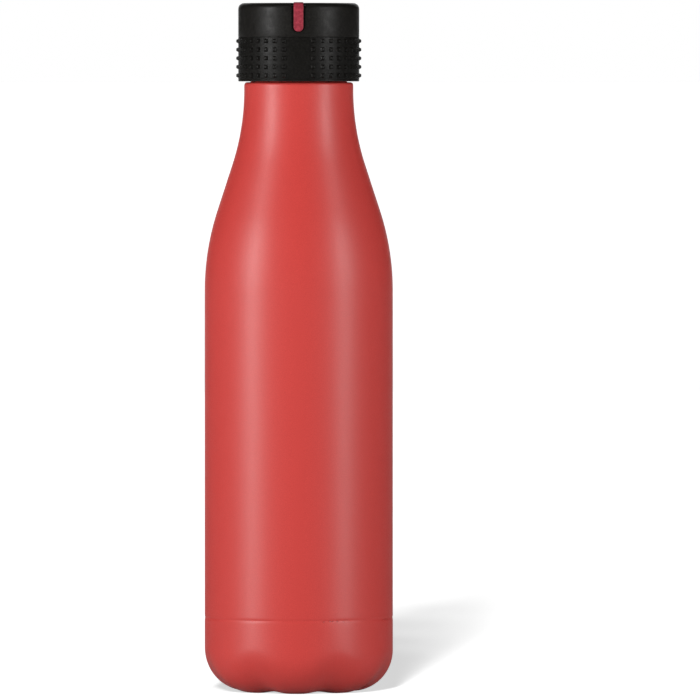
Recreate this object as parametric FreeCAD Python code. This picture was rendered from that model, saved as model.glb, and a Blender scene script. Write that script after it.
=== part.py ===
"""Double-walled steel water bottle with a studded screw cap.

Millimetres, +Z up. The origin is on the axis, in the plane that the base's feet stand on, and the
front, where the cap's marker tab is, faces -Y. Every piece is written to parts/NAME.step.
"""
import FreeCAD
import Part
import math
import os
from functools import partial

V = FreeCAD.Vector
AXIS = V(0, 0, 1)
ORIGIN = V(0, 0, 0)

# Cap: outer shell with a recess for the grip band. The collar, mouth and neck under it follow from it
CAP_R = 22.5
CAP_HEIGHT = 29.1
CAP_FLOAT = 0.3                       # gap between the cap's lower edge and the neck's top
CAP_RIM_R = 2.2
CAP_LOWER_BREAK = 0.4
CAP_WALL = 1.8
CAP_TOP_WALL = 2.2
BAND_DEPTH = 1.0
BAND_HEIGHT = 15.6
BAND_LOW_LAND = 0.8                   # smooth land under the grip band

# Inner cap: thread skirt and hollow plug, moulded in one
SKIRT_WALL = 1.5
SKIRT_RISE = 1.0                      # how far the skirt stops above the cap's lower edge
THREAD_SPACE = 1.3                    # between the skirt's bore and the collar, filled by the threads
PLUG_CLEARANCE = 1.2                  # to the wall of the mouth
PLUG_WALL = 1.4
PLUG_DEPTH = 10.0                     # below the inner cap's ceiling
PLUG_EDGE_R = 1.5
CEILING_WALL = 1.8

# Outer shell: straight body, sloping shoulder, straight neck
BODY_R = 35.0
SHELL_WALL = 0.5
SHOULDER_SLOPE = math.radians(18.0)   # slope of the shoulder's straight stretch, from the vertical
SHOULDER_IN_R = 90.0                  # hollow curve under the neck
SHOULDER_OUT_R = 95.0                 # round curve into the body
NECK_LEDGE = 2.4                      # how far the neck stands out from the collar
NECK_EDGE_R = 1.2                     # rounded edge where the neck turns in to the collar
NECK_TOP_Z = 226.6
NECK_STRAIGHT = 1.6                   # straight neck left under the rounded edge's height

# Mouth: the bare collar that the cap screws on to, and the lip that its gasket presses on
COLLAR_HEIGHT = 14.9                  # from the neck's top to the lip's top
COLLAR_GAP = 1.1                      # between the collar's wall and the flask's neck
LIP_HEIGHT = 1.0
LIP_BREAK = 0.4

# Weld between the outer shell and the base cup
SEAM_Z = 27.6
SEAM_GROOVE_DEPTH = 0.3
SEAM_GROOVE_WIDTH = 1.4

# Base cup: seven rounded feet with shallow valleys between them, round a raised centre
FOOT_COUNT = 7
FRONT_FOOT_ANGLE = -93.0              # direction of the foot nearest the front, in degrees from +X
FOOT_CORNER_R = 15.0
FOOT_FLAT_DEPTH = 0.3                 # how far each foot's round is ground off flat
VALLEY_CORNER_R = 17.5
VALLEY_RISE = 1.2                     # height of a valley's lowest point above the floor
VALLEY_SHARPNESS = 1.4                # above 1, the valleys are narrower than the feet
CENTRE_R = 10.5
CENTRE_RISE = 3.0
POLES_PER_FOOT = 6                    # control points round each foot

# Evacuation hole in the middle of the base, and the solder bead that closes it
DIMPLE_R = 4.6
DIMPLE_DEPTH = 0.9
EVACUATION_HOLE_R = 1.2
BEAD_CLEARANCE = 0.5
BEAD_BULGE = 0.3

# Inner flask and its bottom, inside the vacuum
FLASK_WALL = 0.4
VACUUM_GAP = 2.5                      # between the two walls of the body
BASE_GAP = 4.6                        # between the evacuation hole's rim and the flask's underside
FLASK_CORNER_STEP = 3.5               # how much tighter the flask's corner is than the valleys'
FLASK_SEAM_RISE = 3.0                 # straight side between the flask's corner and its weld

# Getter in its holder, spot-welded under the flask's bottom inside the vacuum
GETTER_R = 5.2
GETTER_HEIGHT = 1.8
HOLDER_WALL = 0.4
HOLDER_FLANGE = 2.2
HOLDER_WINDOW_R = 3.2

# Studs of the grip band
STUD_ROWS = 5
STUD_ROW_PITCH = 3.2
STUD_POSITIONS = 39                   # places round the band
STUD_PLACES_LEFT_OUT = 2              # none stands under the marker tab
STUD_BASE = 1.7
STUD_TOP = 0.9
STUD_HEIGHT = 0.75
STUD_ROOT = 0.2                       # how deep a stud is rooted in the band

# Marker tab, clipped over the cap's rim in a groove
TAB_WIDTH = 3.6
TAB_MARGIN = 0.8                      # open groove on each side of the tab
TAB_END_GAP = 0.4
TAB_DROP = 10.6                       # how far the tab reaches down from the cap's top
TAB_REACH = 10.6                      # how far it reaches in from the cap's side
TAB_SINK = 0.9                        # depth of the groove
TAB_PROUD = 0.25

# Lip gasket and the foam in the cap
GASKET_THICKNESS = 1.5
GASKET_CLEARANCE = 0.3
FOAM_CLEARANCE = 0.1

# Straight steps that stand for a curve where a true one would only add facets
EDGE_STEPS = 3                        # round edges
HIDDEN_STEPS = 3                      # shoulders, on the sides that face the vacuum
CORNER_STEPS = 6                      # round corners of the base cup and the flask's bottom

# Sizes that follow from the ones above
SKIRT_OUTER_R = CAP_R - CAP_WALL
SKIRT_BORE_R = SKIRT_OUTER_R - SKIRT_WALL
COLLAR_R = SKIRT_BORE_R - THREAD_SPACE
NECK_R = COLLAR_R + NECK_LEDGE
FLASK_R = BODY_R - SHELL_WALL - VACUUM_GAP
FLASK_NECK_R = COLLAR_R - SHELL_WALL - COLLAR_GAP
FLASK_CORNER_R = VALLEY_CORNER_R - FLASK_CORNER_STEP
FLASK_LOW_Z = CENTRE_RISE + DIMPLE_DEPTH + SHELL_WALL + BASE_GAP
FLASK_SEAM_Z = FLASK_LOW_Z + FLASK_CORNER_R + FLASK_SEAM_RISE
COLLAR_TOP_Z = NECK_TOP_Z + COLLAR_HEIGHT - LIP_HEIGHT
LIP_TOP_Z = NECK_TOP_Z + COLLAR_HEIGHT
MOUTH_R = FLASK_NECK_R - FLASK_WALL
CAP_LOW_Z = NECK_TOP_Z + CAP_FLOAT
CAP_TOP_Z = CAP_LOW_Z + CAP_HEIGHT
BAND_LOW_Z = CAP_LOW_Z + BAND_LOW_LAND
BAND_TOP_Z = BAND_LOW_Z + BAND_HEIGHT
CEILING_Z = LIP_TOP_Z + GASKET_THICKNESS
PLUG_R = MOUTH_R - PLUG_CLEARANCE


def line(start, end):
    """A straight edge between two (radius, height) points."""
    return Part.LineSegment(V(start[0], 0, start[1]), V(end[0], 0, end[1])).toShape()


def around(centre, radius, angle):
    """The (radius, height) point at an angle, in radians from the outward direction, about a centre."""
    return (centre[0] + radius * math.cos(angle), centre[1] + radius * math.sin(angle))


def arc(centre, radius, start_angle, end_angle):
    """A true arc about a (radius, height) centre."""
    angles = (start_angle, (start_angle + end_angle) / 2, end_angle)
    points = [around(centre, radius, angle) for angle in angles]
    return [Part.Arc(*[V(r, 0, z) for r, z in points]).toShape()]


def stepped(centre, radius, start_angle, end_angle, steps):
    """Straight edges, end to end, between points on an arc."""
    turn = (end_angle - start_angle) / steps
    points = [around(centre, radius, start_angle + turn * i) for i in range(steps + 1)]
    return [line(*pair) for pair in zip(points, points[1:])]


def revolved(edges):
    """The solid that a closed outline beside the axis makes in one full turn."""
    wire = Part.Wire(Part.__sortEdges__(edges))
    return Part.Face(wire).revolve(ORIGIN, AXIS, 360)


def ring(inner_r, outer_r, low_z, high_z):
    """A plain ring, or a disc where inner_r is 0."""
    solid = Part.makeCylinder(outer_r, high_z - low_z, V(0, 0, low_z))
    if inner_r > 0:
        solid = solid.cut(Part.makeCylinder(inner_r, high_z - low_z, V(0, 0, low_z)))
    return solid


class Shoulder:
    """The outline from a straight body to a straight neck: round curve, slope, hollow curve."""

    def __init__(self, body_r, neck_r, neck_low_z):
        rise = 1 - math.cos(SHOULDER_SLOPE)
        self.hollow_centre = (neck_r + SHOULDER_IN_R, neck_low_z)
        slope_top = (neck_r + SHOULDER_IN_R * rise, neck_low_z - SHOULDER_IN_R * math.sin(SHOULDER_SLOPE))
        slope_low_r = body_r - SHOULDER_OUT_R * rise
        slope_low_z = slope_top[1] - (slope_low_r - slope_top[0]) / math.tan(SHOULDER_SLOPE)
        self.round_centre = (body_r - SHOULDER_OUT_R, slope_low_z - SHOULDER_OUT_R * math.sin(SHOULDER_SLOPE))
        self.low_z = self.round_centre[1]
        self.high_z = neck_low_z

    def edges(self, depth, steps=0):
        """The outline that depth inside it, from the body up: true arcs, or straight steps along them."""
        curve = partial(stepped, steps=steps) if steps else arc
        round_r = SHOULDER_OUT_R - depth
        hollow_r = SHOULDER_IN_R + depth
        slope = line(
            around(self.round_centre, round_r, SHOULDER_SLOPE),
            around(self.hollow_centre, hollow_r, math.pi + SHOULDER_SLOPE),
        )
        round_curve = curve(self.round_centre, round_r, 0, SHOULDER_SLOPE)
        hollow_curve = curve(self.hollow_centre, hollow_r, math.pi + SHOULDER_SLOPE, math.pi)
        return round_curve + [slope] + hollow_curve


OUTER_SHOULDER = Shoulder(BODY_R, NECK_R, NECK_TOP_Z - NECK_EDGE_R - NECK_STRAIGHT)
FLASK_SHOULDER = Shoulder(FLASK_R, FLASK_NECK_R, NECK_TOP_Z - NECK_EDGE_R - NECK_STRAIGHT)


def outer_wall_line(depth, low_z, steps=0):
    """The outer shell's outline at a depth in its wall, from low_z up to the top of the collar."""
    edge_centre = (NECK_R - NECK_EDGE_R, NECK_TOP_Z - NECK_EDGE_R)
    body_r = BODY_R - depth
    neck_r = NECK_R - depth
    collar_r = COLLAR_R - depth
    ledge_z = NECK_TOP_Z - depth
    return [
        line((body_r, low_z), (body_r, OUTER_SHOULDER.low_z)),
        *OUTER_SHOULDER.edges(depth, steps),
        line((neck_r, OUTER_SHOULDER.high_z), (neck_r, edge_centre[1])),
        *stepped(edge_centre, NECK_EDGE_R - depth, 0, math.pi / 2, EDGE_STEPS),
        line((edge_centre[0], ledge_z), (collar_r, ledge_z)),
        line((collar_r, ledge_z), (collar_r, COLLAR_TOP_Z)),
    ]


def outer_shell():
    """Painted body, shoulder and neck, and the bare collar above them."""
    groove_top = SEAM_Z + SEAM_GROOVE_WIDTH / 2
    groove_r = BODY_R - SEAM_GROOVE_DEPTH
    return revolved([
        *outer_wall_line(0, groove_top),
        line((COLLAR_R, COLLAR_TOP_Z), (COLLAR_R - SHELL_WALL, COLLAR_TOP_Z)),
        *outer_wall_line(SHELL_WALL, SEAM_Z, HIDDEN_STEPS),
        line((BODY_R - SHELL_WALL, SEAM_Z), (groove_r, SEAM_Z)),
        line((groove_r, SEAM_Z), (BODY_R, groove_top)),
    ])


def base_meridian(corner_r, low_z, depth, top_z):
    """Points down the base's side, round its corner and in to its centre, at a depth in the wall."""
    centre = (BODY_R - corner_r, low_z + corner_r)
    turn = -math.pi / 2 / CORNER_STEPS
    corner = [around(centre, corner_r - depth, turn * i) for i in range(CORNER_STEPS + 1)]
    return [(BODY_R - depth, top_z)] + corner + [(CENTRE_R, CENTRE_RISE + depth)]


def lobed_ring(foot, valley):
    """A closed curve that swings between a foot's point and a valley's point, once for each foot."""
    count = FOOT_COUNT * POLES_PER_FOOT
    step = 2 * math.pi / count
    pull_in = (2 + math.cos(step)) / 3   # how far a uniform cubic curve falls inside its poles
    poles = []
    for i in range(count):
        share = ((1 - math.cos(FOOT_COUNT * i * step)) / 2) ** VALLEY_SHARPNESS
        radius = (foot[0] * (1 - share) + valley[0] * share) / pull_in
        height = foot[1] * (1 - share) + valley[1] * share
        angle = math.radians(FRONT_FOOT_ANGLE) + i * step
        poles.append(V(radius * math.cos(angle), radius * math.sin(angle), height))
    curve = Part.BSplineCurve()
    knots = [float(i) for i in range(count + 1)]
    curve.buildFromPolesMultsKnots(poles, [1] * (count + 1), knots, True, 3)
    return Part.Wire(curve.toShape())


def lobed_block(depth, top_z):
    """The solid above the base's feet and valleys, at a depth in the wall, up to a flat top."""
    feet = base_meridian(FOOT_CORNER_R, -FOOT_FLAT_DEPTH, depth, top_z)
    valleys = base_meridian(VALLEY_CORNER_R, VALLEY_RISE, depth, top_z)
    rings = [lobed_ring(foot, valley) for foot, valley in zip(feet, valleys)]
    return Part.makeLoft(rings, True, True)


def base_cup():
    """Painted outer bottom, with its feet, the seam groove's lower half and the evacuation hole."""
    cup = lobed_block(0, SEAM_Z).cut(lobed_block(SHELL_WALL, SEAM_Z + FOOT_CORNER_R / 2))
    cup = cup.cut(ring(0, 2 * BODY_R, -FOOT_CORNER_R, 0))
    groove_low = SEAM_Z - SEAM_GROOVE_WIDTH / 2
    groove_r = BODY_R - SEAM_GROOVE_DEPTH
    cup = cup.cut(revolved([
        line((BODY_R, groove_low), (groove_r, SEAM_Z)),
        line((groove_r, SEAM_Z), (BODY_R + SHELL_WALL, SEAM_Z)),
        line((BODY_R + SHELL_WALL, SEAM_Z), (BODY_R + SHELL_WALL, groove_low)),
        line((BODY_R + SHELL_WALL, groove_low), (BODY_R, groove_low)),
    ]))
    roof_z = CENTRE_RISE + DIMPLE_DEPTH
    cup = cup.fuse(ring(0, DIMPLE_R + SHELL_WALL, CENTRE_RISE + SHELL_WALL / 2, roof_z + SHELL_WALL))
    cup = cup.cut(ring(0, DIMPLE_R, CENTRE_RISE - SHELL_WALL, roof_z))
    return cup.cut(ring(0, EVACUATION_HOLE_R, roof_z - SHELL_WALL, roof_z + 2 * SHELL_WALL))


def vacuum_seal():
    """Solder bead in the dimple, with its stem in the evacuation hole."""
    roof_z = CENTRE_RISE + DIMPLE_DEPTH
    bead_r = DIMPLE_R - BEAD_CLEARANCE
    side_z = CENTRE_RISE + BEAD_BULGE
    bulge_r = (bead_r ** 2 + BEAD_BULGE ** 2) / (2 * BEAD_BULGE)
    half_angle = math.asin(bead_r / bulge_r)
    stem_top = roof_z + SHELL_WALL
    return revolved([
        *stepped((0, CENTRE_RISE + bulge_r), bulge_r, -math.pi / 2, -math.pi / 2 + half_angle, EDGE_STEPS),
        line((bead_r, side_z), (bead_r, roof_z)),
        line((bead_r, roof_z), (EVACUATION_HOLE_R, roof_z)),
        line((EVACUATION_HOLE_R, roof_z), (EVACUATION_HOLE_R, stem_top)),
        line((EVACUATION_HOLE_R, stem_top), (0, stem_top)),
        line((0, stem_top), (0, CENTRE_RISE)),
    ])


def flask_wall_line(depth, top_z, steps=0):
    """The inner flask's outline at a depth in its wall, from its weld up its neck."""
    body_r = FLASK_R - depth
    neck_r = FLASK_NECK_R - depth
    return [
        line((body_r, FLASK_SEAM_Z), (body_r, FLASK_SHOULDER.low_z)),
        *FLASK_SHOULDER.edges(depth, steps),
        line((neck_r, FLASK_SHOULDER.high_z), (neck_r, top_z)),
    ]


def inner_flask():
    """Bare inner wall, with the lip that closes the gap to the collar."""
    break_z = LIP_TOP_Z - LIP_BREAK
    return revolved([
        *flask_wall_line(0, COLLAR_TOP_Z, HIDDEN_STEPS),
        line((FLASK_NECK_R, COLLAR_TOP_Z), (COLLAR_R, COLLAR_TOP_Z)),
        line((COLLAR_R, COLLAR_TOP_Z), (COLLAR_R, break_z)),
        line((COLLAR_R, break_z), (COLLAR_R - LIP_BREAK, LIP_TOP_Z)),
        line((COLLAR_R - LIP_BREAK, LIP_TOP_Z), (MOUTH_R + LIP_BREAK, LIP_TOP_Z)),
        line((MOUTH_R + LIP_BREAK, LIP_TOP_Z), (MOUTH_R, break_z)),
        *flask_wall_line(FLASK_WALL, break_z),
        line((FLASK_R - FLASK_WALL, FLASK_SEAM_Z), (FLASK_R, FLASK_SEAM_Z)),
    ])


def inner_bottom():
    """Pressed cup that closes the inner flask."""
    centre = (FLASK_R - FLASK_CORNER_R, FLASK_LOW_Z + FLASK_CORNER_R)
    inner_r = FLASK_R - FLASK_WALL
    floor_z = FLASK_LOW_Z + FLASK_WALL
    return revolved([
        line((0, FLASK_LOW_Z), (centre[0], FLASK_LOW_Z)),
        *stepped(centre, FLASK_CORNER_R, -math.pi / 2, 0, CORNER_STEPS),
        line((FLASK_R, centre[1]), (FLASK_R, FLASK_SEAM_Z)),
        line((FLASK_R, FLASK_SEAM_Z), (inner_r, FLASK_SEAM_Z)),
        line((inner_r, FLASK_SEAM_Z), (inner_r, centre[1])),
        *stepped(centre, FLASK_CORNER_R - FLASK_WALL, 0, -math.pi / 2, CORNER_STEPS),
        line((centre[0], floor_z), (0, floor_z)),
        line((0, floor_z), (0, FLASK_LOW_Z)),
    ])


def getter_pellet():
    """Gas-absorbing pellet, flat against the flask's bottom."""
    return ring(0, GETTER_R, FLASK_LOW_Z - GETTER_HEIGHT, FLASK_LOW_Z)


def getter_holder():
    """Pressed pan with a flange, which holds the pellet up against the flask's bottom."""
    floor_z = FLASK_LOW_Z - GETTER_HEIGHT
    low_z = floor_z - HOLDER_WALL
    pan_r = GETTER_R + HOLDER_WALL
    flange_r = pan_r + HOLDER_FLANGE
    flange_z = FLASK_LOW_Z - HOLDER_WALL
    return revolved([
        line((HOLDER_WINDOW_R, floor_z), (HOLDER_WINDOW_R, low_z)),
        line((HOLDER_WINDOW_R, low_z), (pan_r, low_z)),
        line((pan_r, low_z), (pan_r, flange_z)),
        line((pan_r, flange_z), (flange_r, flange_z)),
        line((flange_r, flange_z), (flange_r, FLASK_LOW_Z)),
        line((flange_r, FLASK_LOW_Z), (GETTER_R, FLASK_LOW_Z)),
        line((GETTER_R, FLASK_LOW_Z), (GETTER_R, floor_z)),
        line((GETTER_R, floor_z), (HOLDER_WINDOW_R, floor_z)),
    ])


def cap_outline(offset, low_z):
    """The cap's side and top, that far outside them, from low_z up and in to the axis."""
    rim_centre = (CAP_R - CAP_RIM_R, CAP_TOP_Z - CAP_RIM_R)
    side_r = CAP_R + offset
    top_z = CAP_TOP_Z + offset
    return [
        line((side_r, low_z), (side_r, rim_centre[1])),
        *stepped(rim_centre, CAP_RIM_R + offset, 0, math.pi / 2, EDGE_STEPS),
        line((rim_centre[0], top_z), (0, top_z)),
    ]


def cap_skin(inner_offset, outer_offset, width, end_gap):
    """A strip of the cap's surface over the rim at the front, between two offsets from it."""
    low_z = CAP_TOP_Z - TAB_DROP - end_gap
    skin = revolved(cap_outline(inner_offset, low_z) + cap_outline(outer_offset, low_z) + [
        line((CAP_R + inner_offset, low_z), (CAP_R + outer_offset, low_z)),
        line((0, CAP_TOP_Z + inner_offset), (0, CAP_TOP_Z + outer_offset)),
    ])
    reach = TAB_REACH + end_gap
    front = Part.makeBox(width, reach + CAP_R, 2 * TAB_DROP, V(-width / 2, -2 * CAP_R, low_z))
    return skin.common(front)


def cap_shell():
    """Moulded outer cap, recessed for the grip band and grooved for the marker tab."""
    inner_r = CAP_R - CAP_WALL
    ceiling_z = CAP_TOP_Z - CAP_TOP_WALL
    break_r = CAP_R - CAP_LOWER_BREAK
    break_z = CAP_LOW_Z + CAP_LOWER_BREAK
    shell = revolved([
        *cap_outline(0, break_z),
        line((CAP_R, break_z), (break_r, CAP_LOW_Z)),
        line((break_r, CAP_LOW_Z), (inner_r, CAP_LOW_Z)),
        line((inner_r, CAP_LOW_Z), (inner_r, ceiling_z)),
        line((inner_r, ceiling_z), (0, ceiling_z)),
        line((0, ceiling_z), (0, CAP_TOP_Z)),
    ])
    shell = shell.cut(ring(CAP_R - BAND_DEPTH, 2 * CAP_R, BAND_LOW_Z, BAND_TOP_Z))
    groove_width = TAB_WIDTH + 2 * TAB_MARGIN
    return shell.cut(cap_skin(-TAB_SINK, CAP_RIM_R, groove_width, TAB_END_GAP))


def marker_tab():
    """Coloured tab that wraps over the cap's rim, a little proud of it."""
    return cap_skin(-TAB_SINK, TAB_PROUD, TAB_WIDTH, 0)


def stud():
    """One grip stud, pointing along +Y: a square base with sloping sides, rooted in the band."""
    slope = (STUD_BASE - STUD_TOP) / 2 / STUD_HEIGHT
    root = STUD_BASE / 2 + slope * STUD_ROOT
    top = STUD_TOP / 2
    return Part.makeWedge(
        -root, CAP_R - STUD_ROOT, -root, -top, -top, root, CAP_R + STUD_HEIGHT, root, top, top
    )


def grip_band():
    """Soft band round the cap's lower part, with rows of studs and a smooth stretch at the front."""
    band = ring(CAP_R - BAND_DEPTH, CAP_R, BAND_LOW_Z, BAND_TOP_Z)
    first_z = (BAND_LOW_Z + BAND_TOP_Z - STUD_ROW_PITCH * (STUD_ROWS - 1)) / 2
    step = 360.0 / STUD_POSITIONS
    first_angle = 180 + step * (STUD_PLACES_LEFT_OUT + 1) / 2   # turned round from +Y to the front
    studs = []
    for column in range(STUD_POSITIONS - STUD_PLACES_LEFT_OUT):
        for row in range(STUD_ROWS):
            placed = stud()
            placed.translate(V(0, 0, first_z + row * STUD_ROW_PITCH))
            placed.rotate(ORIGIN, AXIS, first_angle + column * step)
            studs.append(placed)
    return band.multiFuse(studs)


def inner_cap():
    """Thread skirt and hollow plug in one moulding, open at the top for the foam."""
    skirt_low = CAP_LOW_Z + SKIRT_RISE
    top_z = CEILING_Z + CEILING_WALL
    plug_low = CEILING_Z - PLUG_DEPTH
    plug_floor = plug_low + PLUG_WALL
    bore_r = PLUG_R - PLUG_WALL
    edge_centre = (PLUG_R - PLUG_EDGE_R, plug_low + PLUG_EDGE_R)
    return revolved([
        line((SKIRT_BORE_R, skirt_low), (SKIRT_OUTER_R, skirt_low)),
        line((SKIRT_OUTER_R, skirt_low), (SKIRT_OUTER_R, top_z)),
        line((SKIRT_OUTER_R, top_z), (bore_r, top_z)),
        line((bore_r, top_z), (bore_r, plug_floor)),
        line((bore_r, plug_floor), (0, plug_floor)),
        line((0, plug_floor), (0, plug_low)),
        line((0, plug_low), (edge_centre[0], plug_low)),
        *stepped(edge_centre, PLUG_EDGE_R, -math.pi / 2, 0, EDGE_STEPS),
        line((PLUG_R, edge_centre[1]), (PLUG_R, CEILING_Z)),
        line((PLUG_R, CEILING_Z), (SKIRT_BORE_R, CEILING_Z)),
        line((SKIRT_BORE_R, CEILING_Z), (SKIRT_BORE_R, skirt_low)),
    ])


def lip_gasket():
    """Flat silicone ring between the lip and the inner cap's ceiling."""
    inner_r = PLUG_R + GASKET_CLEARANCE
    outer_r = SKIRT_BORE_R - GASKET_CLEARANCE
    return ring(inner_r, outer_r, LIP_TOP_Z, CEILING_Z)


def cap_insulation():
    """Foam puck, stepped to fill the plug and the space under the cap's top."""
    floor_z = CEILING_Z - PLUG_DEPTH + PLUG_WALL
    step_z = CEILING_Z + CEILING_WALL
    top_z = CAP_TOP_Z - CAP_TOP_WALL
    lower_r = PLUG_R - PLUG_WALL - FOAM_CLEARANCE
    upper_r = SKIRT_OUTER_R - FOAM_CLEARANCE
    return revolved([
        line((0, floor_z), (lower_r, floor_z)),
        line((lower_r, floor_z), (lower_r, step_z)),
        line((lower_r, step_z), (upper_r, step_z)),
        line((upper_r, step_z), (upper_r, top_z)),
        line((upper_r, top_z), (0, top_z)),
        line((0, top_z), (0, floor_z)),
    ])


PIECES = {
    "outer_shell": outer_shell,
    "base_cup": base_cup,
    "vacuum_seal": vacuum_seal,
    "inner_flask": inner_flask,
    "inner_bottom": inner_bottom,
    "getter_pellet": getter_pellet,
    "getter_holder": getter_holder,
    "lip_gasket": lip_gasket,
    "cap_shell": cap_shell,
    "grip_band": grip_band,
    "marker_tab": marker_tab,
    "inner_cap": inner_cap,
    "cap_insulation": cap_insulation,
}


def main():
    os.makedirs("parts", exist_ok=True)
    for name, build in PIECES.items():
        build().exportStep(f"parts/{name}.step")


main()
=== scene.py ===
"""Looks of a double-walled steel water bottle with a studded screw cap.

Metres, +Z up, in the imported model's own frame. Each operator models or dresses one piece.
"""
import math

import bpy
from bpy.props import FloatProperty, FloatVectorProperty, IntProperty, PointerProperty
from bpy.types import Operator, Panel, PropertyGroup
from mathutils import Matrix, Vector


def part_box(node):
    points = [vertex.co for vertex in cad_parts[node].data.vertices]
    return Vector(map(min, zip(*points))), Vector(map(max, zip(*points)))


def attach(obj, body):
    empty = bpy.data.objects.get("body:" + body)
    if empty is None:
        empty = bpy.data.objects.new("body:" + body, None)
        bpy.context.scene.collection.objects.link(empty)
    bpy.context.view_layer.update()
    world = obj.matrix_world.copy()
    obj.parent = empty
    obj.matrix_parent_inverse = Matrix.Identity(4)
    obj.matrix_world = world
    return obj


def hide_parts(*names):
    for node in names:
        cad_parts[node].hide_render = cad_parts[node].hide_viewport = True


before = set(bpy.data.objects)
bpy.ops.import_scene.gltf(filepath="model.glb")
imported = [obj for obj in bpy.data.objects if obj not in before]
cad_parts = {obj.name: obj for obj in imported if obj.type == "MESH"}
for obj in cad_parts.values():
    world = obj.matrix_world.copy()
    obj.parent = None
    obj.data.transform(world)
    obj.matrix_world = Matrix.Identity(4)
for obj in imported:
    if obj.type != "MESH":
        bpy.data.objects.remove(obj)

bl_info = {
    "name": "Insulated water bottle",
    "version": (1, 0, 0),
    "blender": (4, 5, 0),
    "location": "View3D > Sidebar > Bottle",
    "description": "Models and dresses a steel water bottle round its packed frame",
    "category": "Add Mesh",
}

MM = 0.001
FULL_TURN = 2 * math.pi
FRONT = -math.pi / 2          # direction of the cap's marker tab, about +Z
MERGE = 1e-6                  # points closer than this are one
OVERSHOOT = 1 * MM            # how far a cutter reaches past what it cuts
RING_GAP, RINGS = 10 * MM, 11  # rings up the shell's straight side
GUARD = 0.5 * MM              # from the weld's groove to the next ring, which keeps the side's shading flat
WELD_TUCK = 0.05 * MM         # how far the base's hidden edge stands in from the weld's groove
BASE_SIDE = 5 * MM            # the base's lowest straight ring, below the weld
CORNER_STEPS, RISE_STEPS = 28, 12  # steps in the base's round corner and in its rise to the middle
COLLAR_ROOT = 0.3 * MM        # round corner between the neck's ledge and the collar
FLASK_CORNER_LESS = 3.5 * MM  # how much tighter the inner floor's corner is than a valley's
END_SINK = 0.92               # share of a thread ridge's height by which its end rings sink
RIM_LEAD = 3 * MM             # straight side of the cap modelled next to its band and its rim
TAB_END = 0.45                # radius of the tab's rounded ends, as a share of its width
TAB_CLEARANCE = 0.02 * MM     # between the tab and its groove's floor
PLUG_DEPTH = 10 * MM          # from the inner cap's ceiling to the plug's end
MAT_LIFT = 0.2 * MM           # dark mat above the floor
BOTTLE_MIDDLE = (0, 0, 0.13)


# ---------------------------------------------------------------- sizes read from the frame

def widest(node, low_z, high_z):
    """Largest radius of a node's points between two heights."""
    points = [v.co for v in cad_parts[node].data.vertices]
    return max(math.hypot(p.x, p.y) for p in points if low_z <= p.z <= high_z)


SHELL_LOW, SHELL_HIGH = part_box("outer_shell")
FLASK_LOW, FLASK_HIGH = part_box("inner_flask")
BOTTOM_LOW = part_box("inner_bottom")[0]
SEAL_LOW, SEAL_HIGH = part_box("vacuum_seal")
GASKET_LOW, GASKET_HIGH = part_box("lip_gasket")
CAP_LOW, CAP_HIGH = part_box("cap_shell")
BAND_LOW, BAND_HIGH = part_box("grip_band")
TAB_LOW, TAB_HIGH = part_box("marker_tab")
INNER_CAP_LOW, INNER_CAP_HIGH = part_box("inner_cap")

BODY_R = SHELL_HIGH.x
SEAM_Z = SHELL_LOW.z
COLLAR_TOP_Z = SHELL_HIGH.z
COLLAR_R = widest("outer_shell", COLLAR_TOP_Z - MERGE, COLLAR_TOP_Z)
LIP_TOP_Z = FLASK_HIGH.z
FLASK_R = FLASK_HIGH.x
FLASK_SEAM_Z = FLASK_LOW.z
CAP_R = CAP_HIGH.x
CAP_LOW_Z, CAP_TOP_Z = CAP_LOW.z, CAP_HIGH.z
NECK_R = widest("outer_shell", CAP_LOW_Z - 6 * MM, CAP_LOW_Z)
SKIRT_R = INNER_CAP_HIGH.x
GASKET_R = GASKET_HIGH.x


# ---------------------------------------------------------------- properties

def number(name, description, default, **limits):
    return FloatProperty(name=name, description=description, default=default, **limits)


def count(name, description, default, least):
    return IntProperty(name=name, description=description, default=default, min=least)


def angle(name, description, degrees):
    """An angle in radians, with a default in degrees."""
    return number(name, description, math.radians(degrees), subtype="ANGLE")


def metres(name, description, default):
    """A length in metres, for the stage."""
    return number(name, description, default, unit="LENGTH")


def sun_series(name, description, values):
    """One number for each of the floor's suns, lowest sun first."""
    return FloatVectorProperty(name=name, description=description, default=values, size=len(values))


def length(name, description, default):
    """A length in metres, with a default in millimetres."""
    return number(name, description, default * MM, unit="LENGTH", precision=5)


def colour(name, description, default):
    """A colour in linear light."""
    return FloatVectorProperty(
        name=name, description=description, default=default, size=3, subtype="COLOR", min=0, max=1
    )


class BottleSizes(PropertyGroup):
    """Sizes of the two walls of the bottle."""

    turns: count("Steps round", "Steps in one turn of a round piece", 192, 24)
    shoulder_slope: angle("Shoulder slope", "Slope of the shoulder's straight stretch, from the vertical", 18)
    shoulder_in: length("Hollow curve", "Radius of the curve under the neck", 90)
    shoulder_out: length("Round curve", "Radius of the curve into the body", 95)
    shell_wall: length("Shell wall", "Thickness of the outer wall", 0.5)
    flask_wall: length("Flask wall", "Thickness of the inner wall", 0.4)
    neck_edge: length("Neck edge", "Radius of the neck's rounded top edge", 1.2)
    neck_straight: length("Straight neck", "Straight neck under its rounded edge", 1.6)
    cap_float: length("Gap under the cap", "From the neck's top to the cap's lower edge", 0.3)
    collar_gap: length("Collar gap", "From the collar's wall to the flask's neck", 1.1)
    lip_edge: length("Lip edge", "Radius of the lip's rounded edges", 0.4)
    seam_depth: length("Seam depth", "Depth of the groove at the weld", 0.13)
    seam_width: length("Seam width", "Width of the groove at the weld", 1.8)
    weld_overlap: length("Weld overlap", "How far the base reaches up into the shell's wall", 0.3)


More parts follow.
